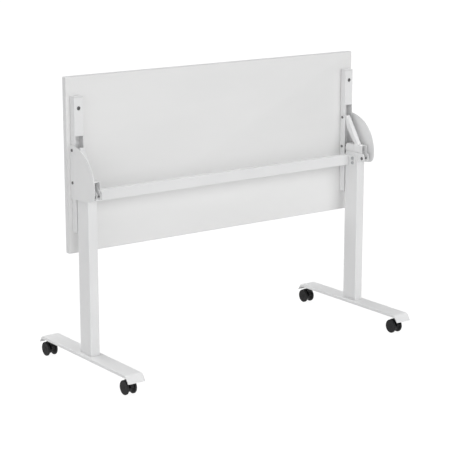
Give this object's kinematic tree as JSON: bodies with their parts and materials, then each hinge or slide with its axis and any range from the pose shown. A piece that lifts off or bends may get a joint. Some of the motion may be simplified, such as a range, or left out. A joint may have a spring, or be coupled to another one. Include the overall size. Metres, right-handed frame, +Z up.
{
  "type": "flip top training table",
  "caption": "White flip top training table on twin-wheel casters, its top turned up for storage between two columns joined by a beam, with a stay arm and a quadrant plate at each end.",
  "frame": {"origin": "on the floor, under the middle of the frame, midway between the two columns", "axes": "+X along the table, +Y to the side where the turned-up top stands, +Z up"},
  "size_m": [1.24, 0.5962, 1.017],
  "materials": {
    "white_board": "satin white melamine on board",
    "white_coat": "satin white powder coat",
    "white_plastic": "satin",
    "steel": "zinc plated",
    "black_plastic": "satin",
    "black_tread": "matte"
  },
  "bodies": {
    "frame": {"crossbeam": "white_coat", "column_left": "white_coat", "head_left": "white_coat", "head_bolt_left": "steel", "hinge_bush_left": "black_plastic", "pivot_bracket_left": "white_coat", "stay_pin_left": "steel", "beam_end_plate_left": "white_coat", "beam_bolt_upper_left": "steel", "beam_bolt_lower_left": "steel", "foot_left": "white_coat", "foot_bolt_left": "steel", "column_right": "white_coat", "head_right": "white_coat", "head_bolt_right": "steel", "hinge_bush_right": "black_plastic", "pivot_bracket_right": "white_coat", "stay_pin_right": "steel", "beam_end_plate_right": "white_coat", "beam_bolt_upper_right": "steel", "beam_bolt_lower_right": "steel", "foot_right": "white_coat", "foot_bolt_right": "steel"},
    "top": {"table_top": "white_board", "edge_band": "white_plastic", "rail_left": "white_coat", "rail_cap_upper_left": "white_plastic", "rail_cap_lower_left": "white_plastic", "panel_screw_upper_left": "steel", "panel_screw_lower_left": "steel", "quadrant_left": "white_coat", "rail_screw_upper_left": "steel", "rail_screw_lower_left": "steel", "hinge_pin_left": "steel", "rail_right": "white_coat", "rail_cap_upper_right": "white_plastic", "rail_cap_lower_right": "white_plastic", "panel_screw_upper_right": "steel", "panel_screw_lower_right": "steel", "quadrant_right": "white_coat", "rail_screw_upper_right": "steel", "rail_screw_lower_right": "steel", "hinge_pin_right": "steel"},
    "stay_left": {"stay_arm_left": "white_coat", "release_tab_left": "white_coat"},
    "stay_right": {"stay_arm_right": "white_coat", "release_tab_right": "white_coat"},
    "caster_front_left": {"caster_body_front_left": "black_plastic"},
    "caster_back_left": {"caster_body_back_left": "black_plastic"},
    "caster_front_right": {"caster_body_front_right": "black_plastic"},
    "caster_back_right": {"caster_body_back_right": "black_plastic"},
    "roller_a_front_left": {"wheel_a_front_left": "black_tread"},
    "roller_b_front_left": {"wheel_b_front_left": "black_tread"},
    "roller_a_back_left": {"wheel_a_back_left": "black_tread"},
    "roller_b_back_left": {"wheel_b_back_left": "black_tread"},
    "roller_a_front_right": {"wheel_a_front_right": "black_tread"},
    "roller_b_front_right": {"wheel_b_front_right": "black_tread"},
    "roller_a_back_right": {"wheel_a_back_right": "black_tread"},
    "roller_b_back_right": {"wheel_b_back_right": "black_tread"}
  },
  "joints": [
    {"name": "top_flip", "type": "hinge", "parent": "frame", "child": "top", "pos_m": [0, 0.022, 0.661], "axis": [1, 0, 0], "range_deg": [0, 90]},
    {"name": "stay_swing_left", "type": "hinge", "parent": "frame", "child": "stay_left", "pos_m": [-0.587, -0.059, 0.632], "axis": [1, 0, 0], "range_deg": [0, 115]},
    {"name": "stay_swing_right", "type": "hinge", "parent": "frame", "child": "stay_right", "pos_m": [0.587, -0.059, 0.632], "axis": [1, 0, 0], "range_deg": [0, 115]},
    {"name": "swivel_front_left", "type": "hinge", "parent": "frame", "child": "caster_front_left", "pos_m": [-0.587, -0.258, 0], "axis": [0, 0, 1], "continuous": true},
    {"name": "swivel_back_left", "type": "hinge", "parent": "frame", "child": "caster_back_left", "pos_m": [-0.587, 0.258, 0], "axis": [0, 0, 1], "continuous": true},
    {"name": "swivel_front_right", "type": "hinge", "parent": "frame", "child": "caster_front_right", "pos_m": [0.587, -0.258, 0], "axis": [0, 0, 1], "continuous": true},
    {"name": "swivel_back_right", "type": "hinge", "parent": "frame", "child": "caster_back_right", "pos_m": [0.587, 0.258, 0], "axis": [0, 0, 1], "continuous": true},
    {"name": "roll_a_front_left", "type": "hinge", "parent": "caster_front_left", "child": "roller_a_front_left", "pos_m": [-0.59975, -0.238, 0.025], "axis": [1, 0, 0], "continuous": true},
    {"name": "roll_b_front_left", "type": "hinge", "parent": "caster_front_left", "child": "roller_b_front_left", "pos_m": [-0.57425, -0.238, 0.025], "axis": [1, 0, 0], "continuous": true},
    {"name": "roll_a_back_left", "type": "hinge", "parent": "caster_back_left", "child": "roller_a_back_left", "pos_m": [-0.59975, 0.278, 0.025], "axis": [1, 0, 0], "continuous": true},
    {"name": "roll_b_back_left", "type": "hinge", "parent": "caster_back_left", "child": "roller_b_back_left", "pos_m": [-0.57425, 0.278, 0.025], "axis": [1, 0, 0], "continuous": true},
    {"name": "roll_a_front_right", "type": "hinge", "parent": "caster_front_right", "child": "roller_a_front_right", "pos_m": [0.57425, -0.238, 0.025], "axis": [1, 0, 0], "continuous": true},
    {"name": "roll_b_front_right", "type": "hinge", "parent": "caster_front_right", "child": "roller_b_front_right", "pos_m": [0.59975, -0.238, 0.025], "axis": [1, 0, 0], "continuous": true},
    {"name": "roll_a_back_right", "type": "hinge", "parent": "caster_back_right", "child": "roller_a_back_right", "pos_m": [0.57425, 0.278, 0.025], "axis": [1, 0, 0], "continuous": true},
    {"name": "roll_b_back_right", "type": "hinge", "parent": "caster_back_right", "child": "roller_b_back_right", "pos_m": [0.59975, 0.278, 0.025], "axis": [1, 0, 0], "continuous": true}
  ],
  "couplings": [
    {"joint": "stay_swing_left", "follows": "top_flip", "ratio": 1.2777},
    {"joint": "stay_swing_right", "follows": "top_flip", "ratio": 1.2777}
  ]
}
